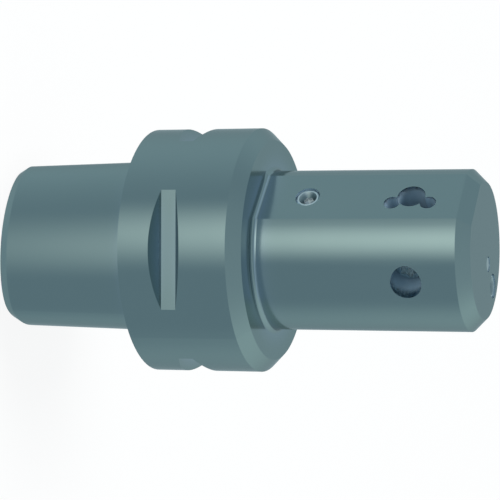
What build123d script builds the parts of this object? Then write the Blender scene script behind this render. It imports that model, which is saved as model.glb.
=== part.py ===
from build123d import *
from math import cos, pi, radians, sin, tan
import os

# Polygon shank tool holder for a small boring bar that is held across the nose.
# Millimetres. The origin is the middle of the shank's end face and Z runs along the holder to its nose.
# The flat of the nose looks along -Y. One lobe of the shank and the bore of the clamp screw look along +X.

# Shank: a three-lobed section of constant width, tapered toward its end
shank_length = 24.0
shank_width = 28.0              # at the flange's contact face
shank_taper = 0.05              # width lost per millimetre of length
shank_eccentricity = 0.9        # how far the lobes stand out of a round section
shank_chamfer_length = 1.5
shank_chamfer_angle = 30.0      # from the axis

# Flange
flange_diameter = 40.0
flange_length = 20.0
flange_chamfer = 2.0

# Gripper slots: straight, milled across the flange with a flat floor and leaning flanks
slot_count = 4
slot_first_angle = 45.0
slot_distance = 7.75            # contact face to the slot's middle
slot_depth = 2.4
slot_floor_width = 2.4
slot_flank_angle = 30.0         # each flank from the slot's middle plane

# Nose
nose_diameter = 26.0
nose_length = 35.0
nose_chamfer = 2.0
nose_fillet = 0.8
flat_distance = 12.0            # axis to the flat

# Draw-bolt bore, from the shank's end inward
entry_diameter = 18.0
entry_chamfer = 0.5
entry_lip_length = 3.6
groove_diameter = 20.0          # the gripping segments pull on its 45 degree shoulder
groove_length = 4.6
guide_diameter = 15.5
guide_length = 5.0
draw_thread_diameter = 14.0     # nominal
draw_thread_length = 14.0
centre_bore_diameter = 5.0      # coolant, from the draw bolt to the cross drilling

# Coolant drillings behind the plug screws
coolant_drill_diameter = 3.3
cross_drill_height = 8.0        # flange front to the cross drilling
long_drill_offset = 8.1         # axis to the drilling that runs to the seat

# Plug screws
plug_diameter = 4.0             # nominal thread
plug_length = 4.0
plug_bore_rest = 0.6            # thread left in the bore behind a plug
plug_socket_sides = 6
plug_socket_width = 1.5         # across flats
plug_socket_depth = 1.25
plug_socket_pilot = 1.4         # diameter of the hole drilled before the socket was broached
plug_socket_entry = 2.9         # diameter of the socket's countersink
plug_chamfer = 0.25
flat_plug_recess = 0.25
face_plug_recess = 0.2

# Tool seat: the bar's bore with two coolant bores let into its wall
seat_diameter = 4.5
seat_distance = 10.0            # nose end to the seat's axis
seat_to_pin = 0.05              # a bar with a chamfered end reaches the pin past the seat's full diameter
jet_diameter = 2.6
jet_spacing = 5.8
jet_offset = 1.42               # from the seat's axis toward the clamp screw

# Stop pin, pressed in from the nose end so that it crosses the seat
pin_diameter = 2.5
pin_offset = 3.1                # axis to the pin, away from the flat
pin_recess = 0.1
pin_chamfer = 0.2
pin_engagement = 1.75           # held past the seat
pin_bore_rest = 0.3             # bore left behind the pin

# Clamp screw
clamp_diameter = 5.0            # nominal thread
clamp_length = 6.0
clamp_depth = 7.2               # flat to the screw's axis
clamp_gap = 0.8                 # screw's point to the wall of the seat at rest
clamp_travel_in = 1.25          # from rest to hard on the bar's flat
clamp_thread_rest = 0.3         # thread left beyond that travel
clamp_socket_lobes = 6
clamp_socket_outer = 3.35       # across the lobes
clamp_socket_inner = 2.4        # across the valleys
clamp_socket_lobe = 0.27        # radius of a lobe
clamp_socket_depth = 2.4
clamp_chamfer = 0.5

# Fits and drills
thread_clearance = 0.05         # radial, screw to its bore
drill_point_angle = 118.0

# Places that follow from the sizes
contact_z = shank_length
flange_front_z = contact_z + flange_length
nose_end_z = flange_front_z + nose_length
seat_z = nose_end_z - seat_distance
cross_drill_z = flange_front_z + cross_drill_height
clamp_y = clamp_depth - flat_distance
flat_mouth = Plane(origin=(0, -flat_distance, 0), x_dir=(0, 0, 1), z_dir=(0, -1, 0))    # X up the holder
overrun = nose_diameter         # how far a cutting tool reaches out of a mouth

# Drawing values
section_points = 48             # points that carry one spline round the shank's section
on_base = (Align.CENTER, Align.CENTER, Align.MIN)


def rod(radius, low, high):
    return Pos(0, 0, low) * Cylinder(radius, high - low, align=on_base)


def cone(low_radius, high_radius, low, high):
    return Pos(0, 0, low) * Cone(low_radius, high_radius, high - low, align=on_base)


# What a drill takes out below a mouth at Z = 0: its full diameter to the depth, then the drill's point
def drilling(diameter, depth):
    radius = diameter / 2
    point = radius / tan(radians(drill_point_angle / 2))
    return rod(radius, -depth, overrun) + cone(0, radius, -depth - point, -depth)


# Section of the shank. Its support distance is half the width plus the eccentricity times the cosine of
# three times the angle, so any two parallel tangents are one width apart.
def shank_section(width, z):
    points = []
    for step in range(section_points):
        angle = 2 * pi * step / section_points
        support = width / 2 + shank_eccentricity * cos(3 * angle)
        slope = 3 * shank_eccentricity * sin(3 * angle)
        x = support * cos(angle) + slope * sin(angle)
        y = support * sin(angle) - slope * cos(angle)
        points.append((x, y, z))
    return Wire([Spline(*points, periodic=True)])


def shank_width_at(z):
    return shank_width - shank_taper * (contact_z - z)


def shank():
    chamfer_depth = shank_chamfer_length * tan(radians(shank_chamfer_angle))
    shoulder = shank_section(shank_width_at(shank_chamfer_length), shank_chamfer_length)
    end_width = shank_width_at(shank_chamfer_length) - 2 * chamfer_depth
    tip = Solid.make_loft([shank_section(end_width, 0), shoulder], ruled=True)
    taper = Solid.make_loft([shoulder, shank_section(shank_width, contact_z)], ruled=True)
    return tip + taper


def flange():
    disc = rod(flange_diameter / 2, contact_z, flange_front_z)
    return chamfer(disc.edges().group_by(Axis.Z)[-1], flange_chamfer)


# A slot is a prism across the flange, wide enough to run out of it at both ends
def gripper_slots():
    floor = flange_diameter / 2 - slot_depth
    cut_depth = 2 * slot_depth
    mouth_width = slot_floor_width + 2 * cut_depth * tan(radians(slot_flank_angle))
    profile = Polyline(
        (floor, -slot_floor_width / 2),
        (floor + cut_depth, -mouth_width / 2),
        (floor + cut_depth, mouth_width / 2),
        (floor, slot_floor_width / 2),
        close=True,
    )
    prism = extrude(Plane.XZ * make_face(profile), flange_diameter / 2, both=True)
    slots = []
    for index in range(slot_count):
        angle = slot_first_angle + index * 360 / slot_count
        slots.append(Pos(0, 0, contact_z + slot_distance) * Rot(0, 0, angle) * prism)
    return slots


# Half profile of a cove: it runs from a wall at the given distance out along the flange's front face
def cove_profile(wall):
    corner = nose_fillet * (1 - cos(pi / 4))
    foot = (wall + nose_fillet, flange_front_z)
    middle = (wall + corner, flange_front_z + corner)
    top = (wall, flange_front_z + nose_fillet)
    return foot, middle, top


# The nose as turned, with its end chamfer and the cove at its root
def turned_nose():
    radius = nose_diameter / 2
    foot, middle, top = cove_profile(radius)
    outline = Polyline(
        top,
        (radius, nose_end_z - nose_chamfer),
        (radius - nose_chamfer, nose_end_z),
        (0, nose_end_z),
        (0, flange_front_z),
        foot,
    )
    return revolve(Plane.XZ * make_face([outline, ThreePointArc(foot, middle, top)]), Axis.Z)


# What the milling cutter takes off to leave the flat: its corner leaves the same cove at the flange, and a
# second pass leaves the chamfer at the nose's end
def beyond_flat():
    outside = nose_diameter
    foot, middle, top = cove_profile(flat_distance)
    outline = Polyline(
        top,
        (flat_distance, nose_end_z - nose_chamfer),
        (flat_distance - nose_chamfer, nose_end_z),
        (outside, nose_end_z),
        (outside, flange_front_z),
        foot,
    )
    side = Plane(origin=(0, 0, 0), x_dir=(0, -1, 0), z_dir=(-1, 0, 0))
    face = side * make_face([outline, ThreePointArc(foot, middle, top)])
    return extrude(face, nose_diameter, both=True)


def nose():
    return turned_nose() - beyond_flat()


# Stepped bore: entry, segment groove, guide, thread and the centre bore for coolant
def draw_bore():
    entry = entry_diameter / 2
    groove = groove_diameter / 2
    thread = draw_thread_diameter / 2
    guide = guide_diameter / 2
    groove_top = entry_lip_length + groove_length
    thread_start = groove_top + guide_length
    thread_end = thread_start + draw_thread_length
    centre = centre_bore_diameter / 2
    point_slope = tan(radians(drill_point_angle / 2))
    profile = Polyline(
        (0, 0),
        (entry + entry_chamfer, 0),
        (entry, entry_chamfer),
        (entry, entry_lip_length),
        (groove, entry_lip_length + groove - entry),
        (groove, groove_top),
        (guide, groove_top),
        (guide, thread_start - guide + thread),
        (thread, thread_start),
        (thread, thread_end),
        (centre, thread_end),
        (centre, cross_drill_z),
        (0, cross_drill_z + centre / point_slope),
        close=True,
    )
    return revolve(Plane.XZ * make_face(profile), Axis.Z)


def coolant_drillings():
    cross_mouth = flat_mouth * Pos(cross_drill_z, 0, 0)
    cross_depth = flat_distance + long_drill_offset
    long_mouth = Pos(0, long_drill_offset, nose_end_z)
    long_depth = nose_end_z - cross_drill_z
    return [
        cross_mouth * drilling(coolant_drill_diameter, cross_depth),
        long_mouth * drilling(coolant_drill_diameter, long_depth),
    ]


def plug_bores():
    flat_depth = flat_plug_recess + plug_length + plug_bore_rest
    face_depth = face_plug_recess + plug_length + plug_bore_rest
    return [
        flat_mouth * Pos(cross_drill_z, 0, 0) * drilling(plug_diameter, flat_depth),
        Pos(0, long_drill_offset, nose_end_z) * drilling(plug_diameter, face_depth),
    ]


def tool_seat():
    seat_depth = flat_distance + pin_offset - pin_diameter / 2 - seat_to_pin
    jet_depth = flat_distance + long_drill_offset
    cuts = [flat_mouth * Pos(seat_z, 0, 0) * rod(seat_diameter / 2, -seat_depth, overrun)]
    for side in (-1, 1):
        mouth = flat_mouth * Pos(seat_z + side * jet_spacing / 2, -jet_offset, 0)
        cuts.append(mouth * rod(jet_diameter / 2, -jet_depth, overrun))
    return cuts


def clamp_point_x():
    return seat_diameter / 2 + clamp_gap


# The clamp screw's bore breaks through the seat's wall and ends inside the seat
def clamp_bore():
    mouth = Plane(origin=(nose_diameter / 2, clamp_y, seat_z), x_dir=(0, 1, 0), z_dir=(1, 0, 0))
    thread_end = clamp_point_x() - clamp_travel_in - clamp_thread_rest
    return mouth * rod(clamp_diameter / 2, thread_end - nose_diameter / 2, overrun)


def pin_length():
    return seat_distance - pin_recess + seat_diameter / 2 + pin_engagement


def pin_bore():
    depth = pin_recess + pin_length() + pin_bore_rest
    return Pos(0, pin_offset, nose_end_z) * rod(pin_diameter / 2, -depth, overrun)


def holder_body():
    solid = shank() + flange() + nose()
    solid -= gripper_slots()
    solid -= draw_bore()
    solid -= coolant_drillings()
    solid -= plug_bores()
    solid -= tool_seat()
    solid -= clamp_bore()
    solid -= pin_bore()
    return solid


# Blank of a grub screw: its socket end is at Z = 0 and its point looks along -Z
def grub_blank(diameter, length):
    return rod(diameter / 2 - thread_clearance, -length, 0)


def plug_screw():
    across_corners = plug_socket_width / cos(pi / plug_socket_sides)
    hexagon = RegularPolygon(across_corners / 2, plug_socket_sides)
    socket = extrude(Pos(0, 0, -plug_socket_depth) * hexagon, plug_socket_depth)
    socket += drilling(plug_socket_pilot, plug_socket_depth)
    countersink = plug_socket_entry / 2
    socket += cone(0, countersink, -countersink, 0)
    blank = grub_blank(plug_diameter, plug_length)
    return chamfer(blank.edges().group_by(Axis.Z)[-1], plug_chamfer) - socket


def flat_plug_screw():
    return flat_mouth * Pos(cross_drill_z, 0, -flat_plug_recess) * plug_screw()


def face_plug_screw():
    return Pos(0, long_drill_offset, nose_end_z - face_plug_recess) * plug_screw()


def polar(radius, angle):
    return Vector(radius * cos(angle), radius * sin(angle))


# Small lobes joined by wider arcs that bulge inward. The wider arcs' radius is the one that makes
# neighbouring arcs tangent: their centres are as far apart as the two radii together.
def hexalobular_face():
    half_step = pi / clamp_socket_lobes
    lobe = clamp_socket_lobe
    lobe_centre = clamp_socket_outer / 2 - lobe
    valley = clamp_socket_inner / 2
    across = lobe_centre * cos(half_step)
    spread = lobe_centre**2 + valley**2 - 2 * valley * across - lobe**2
    bulge = spread / (2 * (lobe - valley + across))
    share = lobe / (lobe + bulge)
    edges = []
    for index in range(clamp_socket_lobes):
        middle = 2 * index * half_step
        centre = polar(lobe_centre, middle)
        next_centre = polar(lobe_centre, middle + 2 * half_step)
        before = polar(valley + bulge, middle - half_step)
        after = polar(valley + bulge, middle + half_step)
        start = centre + (before - centre) * share
        end = centre + (after - centre) * share
        next_start = next_centre + (after - next_centre) * share
        edges.append(ThreePointArc(start, polar(clamp_socket_outer / 2, middle), end))
        edges.append(ThreePointArc(end, polar(valley, middle + half_step), next_start))
    return make_face(edges)


def clamp_screw():
    socket = extrude(Pos(0, 0, -clamp_socket_depth) * hexalobular_face(), clamp_socket_depth)
    blank = grub_blank(clamp_diameter, clamp_length)
    ends = blank.edges().group_by(Axis.Z)
    blank = chamfer(ends[0] + ends[-1], clamp_chamfer)
    outer_end = Plane(
        origin=(clamp_point_x() + clamp_length, clamp_y, seat_z), x_dir=(0, 1, 0), z_dir=(1, 0, 0)
    )
    return outer_end * (blank - socket)


# Dowel with its outer end chamfered
def seat_stop_pin():
    dowel = rod(pin_diameter / 2, -pin_length(), 0)
    dowel = chamfer(dowel.edges().group_by(Axis.Z)[-1], pin_chamfer)
    return Pos(0, pin_offset, nose_end_z - pin_recess) * dowel


nodes = {
    "holder_body": holder_body,
    "clamp_screw": clamp_screw,
    "seat_stop_pin": seat_stop_pin,
    "flat_plug_screw": flat_plug_screw,
    "face_plug_screw": face_plug_screw,
}

os.makedirs("parts", exist_ok=True)
for name, make in nodes.items():
    export_step(make(), f"parts/{name}.step")
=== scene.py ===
import bpy
import math
import numpy as np
from mathutils import Matrix, Vector


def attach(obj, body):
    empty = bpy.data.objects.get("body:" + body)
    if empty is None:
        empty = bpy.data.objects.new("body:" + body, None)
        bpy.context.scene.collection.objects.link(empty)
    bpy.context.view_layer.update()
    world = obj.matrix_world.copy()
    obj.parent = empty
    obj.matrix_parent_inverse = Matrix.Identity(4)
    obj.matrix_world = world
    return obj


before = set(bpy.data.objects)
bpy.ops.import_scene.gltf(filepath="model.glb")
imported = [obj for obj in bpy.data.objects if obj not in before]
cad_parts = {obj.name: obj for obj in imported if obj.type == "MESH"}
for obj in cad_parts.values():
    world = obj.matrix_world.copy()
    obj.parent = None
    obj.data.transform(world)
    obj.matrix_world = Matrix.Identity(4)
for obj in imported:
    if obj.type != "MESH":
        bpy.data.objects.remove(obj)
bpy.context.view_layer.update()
mm = 0.001
print("frame loaded:", ", ".join(sorted(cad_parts)))


# Small helpers

def toLinear(hexColour):        # sRGB hex to the linear colour that shaders take
    values = [int(hexColour[i:i + 2], 16) / 255 for i in (1, 3, 5)]
    return [v / 12.92 if v <= 0.04045 else ((v + 0.055) / 1.055) ** 2.4 for v in values] + [1.0]


def direction(azimuth, elevation):      # azimuth 0 looks out along -Y and 90 along +X
    a, e = math.radians(azimuth), math.radians(elevation)
    return Vector((math.sin(a) * math.cos(e), -math.cos(a) * math.cos(e), math.sin(e)))


def addNode(tree, kind, inputs=None, **settings):       # a node, its settings and what feeds it
    node = tree.nodes.new(kind)
    for name, value in settings.items():
        setattr(node, name, value)
    for socket, value in (inputs or {}).items():
        if isinstance(value, bpy.types.NodeSocket):
            tree.links.new(value, node.inputs[socket])
        else:
            node.inputs[socket].default_value = value
    return node


def emptyTree(owner):
    owner.use_nodes = True
    owner.node_tree.nodes.clear()
    return owner.node_tree


# Camera, where the photograph was taken from: the holder's axis runs across the picture, nose to
# the right. Lengths are in mm and angles in degrees.

cameraLook = dict(
    azimuth=45.0, elevation=18.349, distance=362.25, aimHeight=39.54, roll=90.145, lens=158.3,
    clipStart=10.0, clipEnd=20000.0,
)


def makeCamera(look):
    data = bpy.data.cameras.new("camera")
    data.lens = look["lens"]
    data.clip_start = look["clipStart"] * mm
    data.clip_end = look["clipEnd"] * mm
    camera = bpy.data.objects.new("camera", data)
    bpy.context.scene.collection.objects.link(camera)
    back = direction(look["azimuth"], look["elevation"])
    level = Vector((0, 0, 1)).cross(back).normalized()
    upright = back.cross(level)
    turn = math.radians(look["roll"])
    right = level * math.cos(turn) + upright * math.sin(turn)
    up = back.cross(right)
    place = Vector((0, 0, look["aimHeight"] * mm)) + back * look["distance"] * mm
    camera.matrix_world = Matrix.Translation(place) @ Matrix((right, up, back)).transposed().to_4x4()
    bpy.context.scene.camera = camera


makeCamera(cameraLook)
print("camera placed")


# Studio: a white floor and backdrop for the camera, and round them the grey walls and one softbox
# that the steel mirrors. Their places, widths and colours are fitted to the steel's shades in the
# photograph. Angles are in degrees, and a light fades out from its inner angle to its outer one.

roomLook = dict(
    backdrop="#FFFFFF", wall="#A5BBC2",
    discs=[
        dict(       # dim wall behind the camera
            colour="#889DA7", strength=1.0, azimuth=64.2, elevation=26.7, inner=69.2, outer=158.6,
        ),
        dict(       # lit wall
            colour="#BACED0", strength=1.0, azimuth=162.9, elevation=31.9, inner=5.8, outer=63.9,
        ),
        dict(       # ceiling
            colour="#9EB1B8", strength=1.0, azimuth=180.0, elevation=83.3, inner=0.0, outer=49.5,
        ),
    ],
    rectangles=[
        dict(       # pale strip of wall, seen mostly where one face of the steel mirrors another
            colour="#B0C4D6", strength=1.0, azimuth=30.0, elevation=20.0,
            innerWidth=80.0, outerWidth=105.0, innerHeight=3.0, outerHeight=15.0,
        ),
        dict(       # softbox
            colour="#F3FFFA", strength=1.116, azimuth=30.2, elevation=-3.2,
            innerWidth=0.0, outerWidth=36.8, innerHeight=5.2, outerHeight=32.2,
        ),
    ],
)
# Size and distance are in metres, energy in watts, and glowShare is how much of the floor glows for
# the camera
floorLook = dict(size=6.0, colour="#F4F4F2", glow="#FFFFFF", glowShare=0.9)
lampLook = dict(energy=30.0, size=1.0, azimuth=-30.0, elevation=70.0, distance=2.0)


# A soft disc of directions round a middle: it grows from 0 at the outer angle to 1 at the inner one
def softDisc(tree, ray, look):
    along = addNode(
        tree, "ShaderNodeVectorMath", {0: ray, 1: direction(look["azimuth"], look["elevation"])},
        operation="DOT_PRODUCT",
    )
    return addNode(
        tree, "ShaderNodeMapRange",
        {"Value": along.outputs["Value"],
         "From Min": math.cos(math.radians(look["outer"])),
         "From Max": math.cos(math.radians(look["inner"]))},
        interpolation_type="SMOOTHSTEP",
    ).outputs["Result"]


# A soft band of angles: it falls from 1 at the inner distance from its middle to 0 at the outer
# distance
def softBand(tree, angle, middle, inner, outer):
    away = addNode(tree, "ShaderNodeMath", {0: angle, 1: math.radians(middle)}, operation="SUBTRACT")
    distance = addNode(tree, "ShaderNodeMath", {0: away.outputs[0]}, operation="ABSOLUTE")
    return addNode(
        tree, "ShaderNodeMapRange",
        {"Value": distance.outputs[0],
         "From Min": math.radians(outer), "From Max": math.radians(inner)},
        interpolation_type="SMOOTHSTEP",
    ).outputs["Result"]


# A soft rectangle of directions: a band of azimuths, counted from -Y, times a band of elevations
def softRectangle(tree, ray, look):
    parts = addNode(tree, "ShaderNodeSeparateXYZ", {0: ray}).outputs
    toward = addNode(tree, "ShaderNodeMath", {0: parts["Y"], 1: -1.0}, operation="MULTIPLY")
    azimuth = addNode(
        tree, "ShaderNodeMath", {0: parts["X"], 1: toward.outputs[0]}, operation="ARCTAN2"
    )
    elevation = addNode(tree, "ShaderNodeMath", {0: parts["Z"]}, operation="ARCSINE")
    wide = softBand(tree, azimuth.outputs[0], look["azimuth"], look["innerWidth"], look["outerWidth"])
    high = softBand(
        tree, elevation.outputs[0], look["elevation"], look["innerHeight"], look["outerHeight"]
    )
    return addNode(tree, "ShaderNodeMath", {0: wide, 1: high}, operation="MULTIPLY").outputs[0]


# The camera sees the plain backdrop, and every other ray sees the walls with their lights
def makeRoom(look):
    world = bpy.data.worlds.new("softRoom")
    bpy.context.scene.world = world
    tree = emptyTree(world)
    ray = addNode(tree, "ShaderNodeTexCoord").outputs["Generated"]
    room = addNode(tree, "ShaderNodeBackground", {"Color": toLinear(look["wall"])})
    lights = [(softDisc, light) for light in look["discs"]]
    lights += [(softRectangle, light) for light in look["rectangles"]]
    for softShape, light in lights:
        glow = addNode(
            tree, "ShaderNodeBackground",
            {"Color": toLinear(light["colour"]), "Strength": light["strength"]},
        )
        room = addNode(
            tree, "ShaderNodeMixShader",
            {0: softShape(tree, ray, light), 1: room.outputs[0], 2: glow.outputs[0]},
        )
    white = addNode(tree, "ShaderNodeBackground", {"Color": toLinear(look["backdrop"])})
    path = addNode(tree, "ShaderNodeLightPath")
    shown = addNode(
        tree, "ShaderNodeMixShader",
        {0: path.outputs["Is Camera Ray"], 1: room.outputs[0], 2: white.outputs[0]},
    )
    addNode(tree, "ShaderNodeOutputWorld", {"Surface": shown.outputs[0]})


# The floor glows white for the camera and keeps a share of its matt surface for the shadow. The
# steel mirrors the walls through it, as it does in the photograph.
def makeFloor(look):
    reach = look["size"] / 2
    corners = [(-reach, -reach, 0), (reach, -reach, 0), (reach, reach, 0), (-reach, reach, 0)]
    mesh = bpy.data.meshes.new("floor")
    mesh.from_pydata(corners, [], [(0, 1, 2, 3)])
    floor = bpy.data.objects.new("floor", mesh)
    bpy.context.scene.collection.objects.link(floor)
    material = bpy.data.materials.new("paleFloor")
    tree = emptyTree(material)
    matt = addNode(tree, "ShaderNodeBsdfDiffuse", {"Color": toLinear(look["colour"])})
    glow = addNode(tree, "ShaderNodeEmission", {"Color": toLinear(look["glow"])})
    path = addNode(tree, "ShaderNodeLightPath")
    share = addNode(
        tree, "ShaderNodeMath", {0: path.outputs["Is Camera Ray"], 1: look["glowShare"]},
        operation="MULTIPLY",
    )
    surface = addNode(
        tree, "ShaderNodeMixShader", {0: share.outputs[0], 1: matt.outputs[0], 2: glow.outputs[0]}
    )
    addNode(tree, "ShaderNodeOutputMaterial", {"Surface": surface.outputs[0]})
    mesh.materials.append(material)
    floor.visible_glossy = False
    floor.visible_transmission = False
    floor.visible_shadow = False


# A soft lamp high on the flat's side. It lights the floor and anything matt to a plain level, and
# the steel doesn't mirror it.
def makeLamp(look):
    data = bpy.data.lights.new("overheadLamp", "AREA")
    data.energy = look["energy"]
    data.size = look["size"]
    lamp = bpy.data.objects.new("overheadLamp", data)
    bpy.context.scene.collection.objects.link(lamp)
    back = direction(look["azimuth"], look["elevation"])
    lamp.location = back * look["distance"]
    lamp.rotation_mode = "QUATERNION"
    lamp.rotation_quaternion = back.to_track_quat("Z", "Y")
    lamp.visible_glossy = False


makeRoom(roomLook)
makeFloor(floorLook)
makeLamp(lampLook)
print("room, floor and lamp made")


# Steel finishes

# What all the finishes share: how fast the lines change along X, the detail and coarseness of the
# noise in lines and clouds, the lowest and highest sum of the two that count, and how many rays
# look for open sky
grain = dict(
    drift=0.02, lineDetail=3.0, lineCoarseness=0.6, cloudDetail=2.0, cloudCoarseness=0.5,
    lowestSum=0.6, highestSum=1.4, skyRays=16,
)

# Case-hardened tool steel, ground outside: an even satin grey with a cool cast, whose grinding lines
# are far too fine to tell apart. They are drawn ten times coarser, and so shallow that they only
# soften the reflections. Bores aren't ground and keep a matt blue-grey skin, taken to be that of the
# hardening furnace; its colour is also painted light, light enough to stand in for the light that
# hardly reaches into the bores. Corners are painted a little brighter and bluer, a painted light that
# stands in for the light one face of the steel mirrors into the next, and is matched to the
# photograph. Lengths are in mm. Each range gives the share of open sky over a point where the painted
# corner shading, or the skin with its painted light, is full, and the share where it has gone.
holderSteel = dict(
    name="groundToolSteel", colour="#A4B5B5", cloud="#A1B3B3", roughness=0.15, roughnessSpread=0.03,
    lineSpacing=0.2, lineDepth=0.0001, cloudSize=9.0, edgeTint="#DADADA",
    reach=8.0, corner="#B2C2CC", cornerRange=(0.5, 0.8),
    skinAndPaintedShading="#92AABB", skinMetallic=0.0, skinRoughness=0.6, skinAndPaintedShadingRange=(0.38, 0.48),
)
# Screw steel, taken to have a thin phosphate coat: a pale satin grey, half matt inside the socket. The
# socket is drawn whiter and the corners lighter, painted light that stands in for the highlights
# inside the socket and the light mirrored into the corners.
clampScrewSteel = dict(
    name="phosphatedScrewSteel", colour="#C9D6D9", cloud="#BAC8CB",
    roughness=0.2, roughnessSpread=0.06,
    lineSpacing=0.3, lineDepth=0.0003, cloudSize=2.0, edgeTint="#DADADA",
    reach=2.0, corner="#E3ECEE", cornerRange=(0.5, 0.9),
    skinAndPaintedShading="#E6F0F4", skinMetallic=0.4, skinRoughness=0.3, skinAndPaintedShadingRange=(0.3, 0.7),
)
# Ground dowel steel: bright and nearly a mirror. In corners and recesses it turns to its darker cloud
# tone, a slight painted shade.
dowelSteel = dict(
    name="groundDowelSteel", colour="#F0F7F8", cloud="#E6EFF1", roughness=0.1, roughnessSpread=0.03,
    lineSpacing=0.15, lineDepth=0.0001, cloudSize=2.0, edgeTint="#DADADA",
    reach=2.0, corner="#E6EFF1", cornerRange=(0.5, 0.85),
    skinAndPaintedShading="#E6EFF1", skinMetallic=1.0, skinRoughness=0.2, skinAndPaintedShadingRange=(0.1, 0.5),
)
# Screw steel of the coolant plugs, taken to be zinc plated: a white shine, softer than a mirror's. The
# countersink is darkened with painted shade and the socket is whitened with painted light, which
# stands in for its highlight.
plugSteel = dict(
    name="zincPlatedSteel", colour="#F4FAFB", cloud="#EAF4F6", roughness=0.35, roughnessSpread=0.06,
    lineSpacing=0.25, lineDepth=0.0002, cloudSize=1.5, edgeTint="#DADADA",
    reach=3.0, corner="#8A9A9E", cornerRange=(0.75, 0.98),
    skinAndPaintedShading="#FFFFFF", skinMetallic=1.0, skinRoughness=0.5, skinAndPaintedShadingRange=(0.25, 0.5),
)


# Lines run round the holder's axis: the pattern is noise over the distance from the axis and the
# height, so a turned wall carries rings and an end face carries circles. A Mix node takes its share
# at socket 0, numbers at 2 and 3, and colours at 6 and 7.
def makeSteel(look):
    material = bpy.data.materials.new(look["name"])
    tree = emptyTree(material)
    place = addNode(tree, "ShaderNodeTexCoord").outputs["Object"]
    inMm = addNode(
        tree, "ShaderNodeVectorMath", {0: place, "Scale": 1 / mm}, operation="SCALE"
    ).outputs[0]
    parts = addNode(tree, "ShaderNodeSeparateXYZ", {0: inMm}).outputs
    flat = addNode(tree, "ShaderNodeCombineXYZ", {"X": parts["X"], "Y": parts["Y"]})
    radius = addNode(
        tree, "ShaderNodeVectorMath", {0: flat.outputs[0]}, operation="LENGTH"
    ).outputs["Value"]
    drift = addNode(tree, "ShaderNodeMath", {0: parts["X"], 1: grain["drift"]}, operation="MULTIPLY")
    across = addNode(
        tree, "ShaderNodeCombineXYZ", {"X": radius, "Y": parts["Z"], "Z": drift.outputs[0]}
    )
    lines = addNode(
        tree, "ShaderNodeTexNoise",
        {"Vector": across.outputs[0], "Scale": 1 / look["lineSpacing"],
         "Detail": grain["lineDetail"], "Roughness": grain["lineCoarseness"]},
    ).outputs["Fac"]
    clouds = addNode(
        tree, "ShaderNodeTexNoise",
        {"Vector": inMm, "Scale": 1 / look["cloudSize"],
         "Detail": grain["cloudDetail"], "Roughness": grain["cloudCoarseness"]},
    ).outputs["Fac"]
    ground = addNode(
        tree, "ShaderNodeMix",
        {0: clouds, 6: toLinear(look["colour"]), 7: toLinear(look["cloud"])}, data_type="RGBA",
    ).outputs[2]
    sky = addNode(
        tree, "ShaderNodeAmbientOcclusion", {"Distance": look["reach"] * mm},
        only_local=True, samples=grain["skyRays"],
    ).outputs["AO"]
    # Shares of the painted corner shading and of the skin with its painted shading, read from the
    # share of open sky over each point
    noPaintedCornerShading, outsideSkinAndPaintedShading = [
        addNode(
            tree, "ShaderNodeMapRange", {"Value": sky, "From Min": full, "From Max": gone}
        ).outputs["Result"]
        for full, gone in (look["cornerRange"], look["skinAndPaintedShadingRange"])
    ]
    # Painted corner shading: corners turn to a painted light on the holder and clamp screw, and to a
    # painted shade on the dowel and plugs
    metalWithPaintedCorners = addNode(
        tree, "ShaderNodeMix", {0: noPaintedCornerShading, 6: toLinear(look["corner"]), 7: ground}, data_type="RGBA"
    ).outputs[2]
    # Recesses take the skin colour: a matt skin with painted light in the holder's bores, a whiter
    # painted light in the screws' sockets and a slight painted shade on the dowel
    colour = addNode(
        tree, "ShaderNodeMix", {0: outsideSkinAndPaintedShading, 6: toLinear(look["skinAndPaintedShading"]), 7: metalWithPaintedCorners}, data_type="RGBA"
    ).outputs[2]
    metallic = addNode(tree, "ShaderNodeMix", {0: outsideSkinAndPaintedShading, 2: look["skinMetallic"], 3: 1.0}).outputs[0]
    mixed = addNode(tree, "ShaderNodeMath", {0: lines, 1: clouds}, operation="ADD").outputs[0]
    spread = look["roughnessSpread"]
    groundRoughness = addNode(
        tree, "ShaderNodeMapRange",
        {"Value": mixed, "From Min": grain["lowestSum"], "From Max": grain["highestSum"],
         "To Min": look["roughness"] - spread / 2, "To Max": look["roughness"] + spread / 2},
    ).outputs["Result"]
    roughness = addNode(
        tree, "ShaderNodeMix", {0: outsideSkinAndPaintedShading, 2: look["skinRoughness"], 3: groundRoughness}
    ).outputs[0]
    bump = addNode(
        tree, "ShaderNodeBump", {"Height": lines, "Distance": look["lineDepth"] * mm, "Strength": 1.0}
    )
    steel = addNode(
        tree, "ShaderNodeBsdfPrincipled",
        {"Base Color": colour, "Metallic": metallic, "Roughness": roughness, "Normal": bump.outputs[0],
         "Specular Tint": toLinear(look["edgeTint"])},
    )
    addNode(tree, "ShaderNodeOutputMaterial", {"Surface": steel.outputs[0]})
    return material


plugFinish = makeSteel(plugSteel)
finishes = {
    "holder_body": makeSteel(holderSteel),
    "clamp_screw": makeSteel(clampScrewSteel),
    "seat_stop_pin": makeSteel(dowelSteel),
    "flat_plug_screw": plugFinish,
    "face_plug_screw": plugFinish,
}
for name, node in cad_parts.items():
    node.data.materials.clear()
    node.data.materials.append(finishes[name])
print("steel finishes made:", len(finishes))


# Draw thread: M14 x 1.5 inside the shank

# Sizes are in mm, and wall is half of the sleeve's least thickness. The two shares are of a pitch,
# and around and perPitch count points.
drawThread = dict(
    radius=7.0, pitch=1.5, depth=0.81, low=13.95, high=27.1, runOut=1.2, wall=0.03,
    flankShare=1 / 3, crestShare=1 / 6, around=96, perPitch=12,
)


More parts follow.
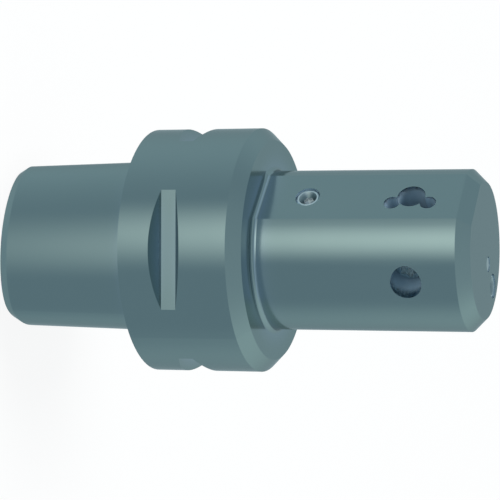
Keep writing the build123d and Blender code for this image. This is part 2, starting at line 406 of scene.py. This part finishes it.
# The inner wall's distance from the axis is the nominal radius less a ridge. The ridge follows the
# height less one pitch for each turn of angle: it rises and falls along straight flanks, with a
# flat crest and root, and fades at both ends. A plain wall just outside it closes the sleeve.
def threadSleeve(look):
    rows = int((look["high"] - look["low"]) / look["pitch"] * look["perPitch"]) + 1
    height, angle = np.meshgrid(
        np.linspace(look["low"], look["high"], rows),
        np.linspace(0, 2 * np.pi, look["around"], endpoint=False), indexing="ij",
    )
    phase = (height / look["pitch"] - angle / (2 * np.pi)) % 1.0
    flank = np.clip((np.abs(phase - 0.5) - look["crestShare"] / 2) / look["flankShare"], 0.0, 1.0)
    ends = np.minimum(height - look["low"], look["high"] - height) / look["runOut"]
    ridge = look["depth"] * (1 - flank) * np.clip(ends, 0.0, 1.0)
    inner = look["radius"] - look["wall"] - ridge
    outer = np.full_like(inner, look["radius"] + look["wall"])
    walls = [
        np.stack((r * np.cos(angle), r * np.sin(angle), height), axis=-1) for r in (inner, outer)
    ]
    return sleeveMesh("drawThread", walls)


# Two walls on the same grid, joined along their first and last rows, as one closed mesh
def sleeveMesh(name, walls):
    rows, around = walls[0].shape[:2]
    points = np.concatenate([wall.reshape(-1, 3) for wall in walls]) * mm
    index = np.arange(2 * rows * around).reshape(2, rows, around)
    nextIndex = np.roll(index, -1, axis=2)
    inside = np.stack((index[0, :-1], index[0, 1:], nextIndex[0, 1:], nextIndex[0, :-1]), axis=-1)
    outside = np.stack((index[1, :-1], nextIndex[1, :-1], nextIndex[1, 1:], index[1, 1:]), axis=-1)
    bottom = np.stack((index[0, 0], nextIndex[0, 0], nextIndex[1, 0], index[1, 0]), axis=-1)
    top = np.stack((index[0, -1], index[1, -1], nextIndex[1, -1], nextIndex[0, -1]), axis=-1)
    quads = np.concatenate([part.reshape(-1, 4) for part in (inside, outside, bottom, top)])
    mesh = bpy.data.meshes.new(name)
    mesh.from_pydata(points.tolist(), [], quads.tolist())
    mesh.update()
    piece = bpy.data.objects.new(name, mesh)
    bpy.context.scene.collection.objects.link(piece)
    return piece


thread = threadSleeve(drawThread)
thread.data.materials.append(finishes["holder_body"])
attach(thread, "holder")
print("draw thread made")


bpy.context.scene.view_settings.view_transform = "Standard"
